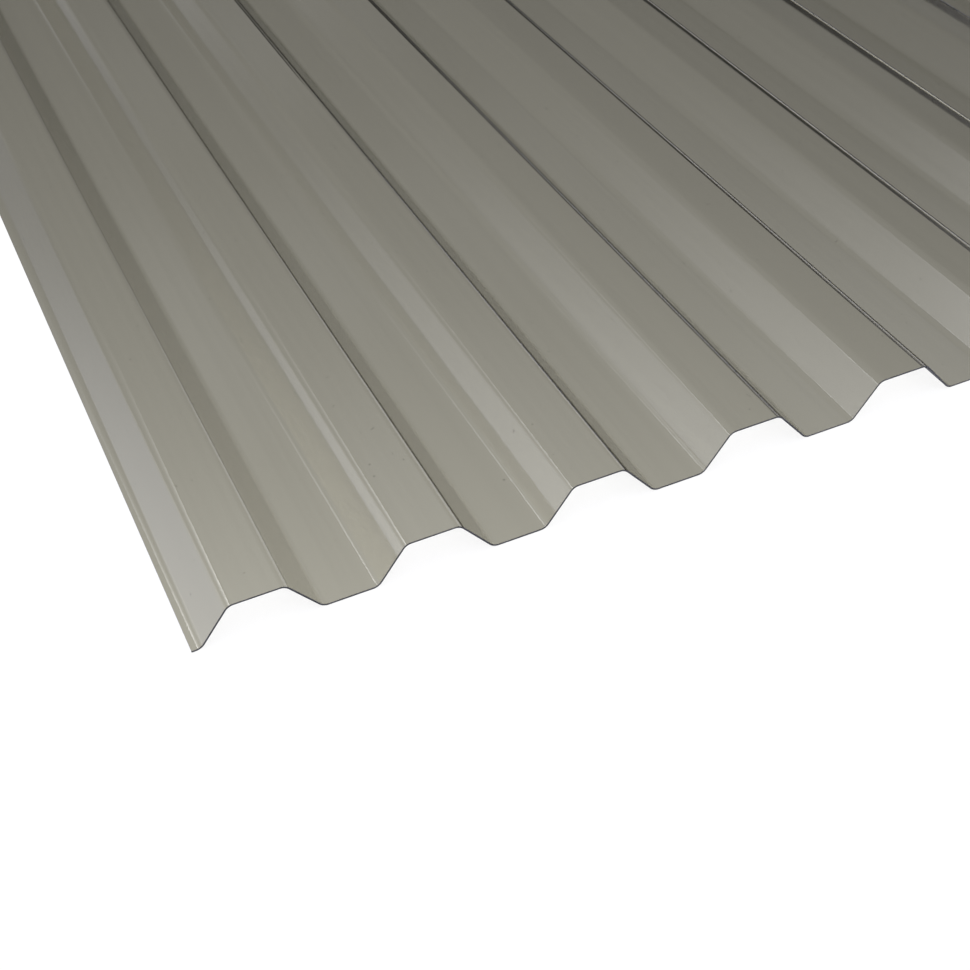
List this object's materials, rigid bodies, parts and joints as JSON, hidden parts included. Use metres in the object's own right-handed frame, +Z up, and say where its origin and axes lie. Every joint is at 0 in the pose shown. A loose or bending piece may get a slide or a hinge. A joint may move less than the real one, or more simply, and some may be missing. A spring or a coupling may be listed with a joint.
{
  "type": "trapezoidal polycarbonate sheet",
  "caption": "Rigid see-through roofing and cladding sheet with trapezoidal corrugations, smoke-tinted, laid over purlins to keep rain out and let light in.",
  "frame": {"origin": "under the middle of the sheet, on the underside of its middle valley, where it rests on the floor or on a purlin", "axes": "+Y along the corrugations, +X across them, +Z up from the valleys to the crests"},
  "size_m": [1.048, 2, 0.018],
  "materials": {
    "polycarbonate": "clear extruded polycarbonate with an even smoke-grey tint and a glossy skin on both faces"
  },
  "bodies": {
    "root": {"trapezoid_sheet": "polycarbonate"}
  },
  "joints": []
}
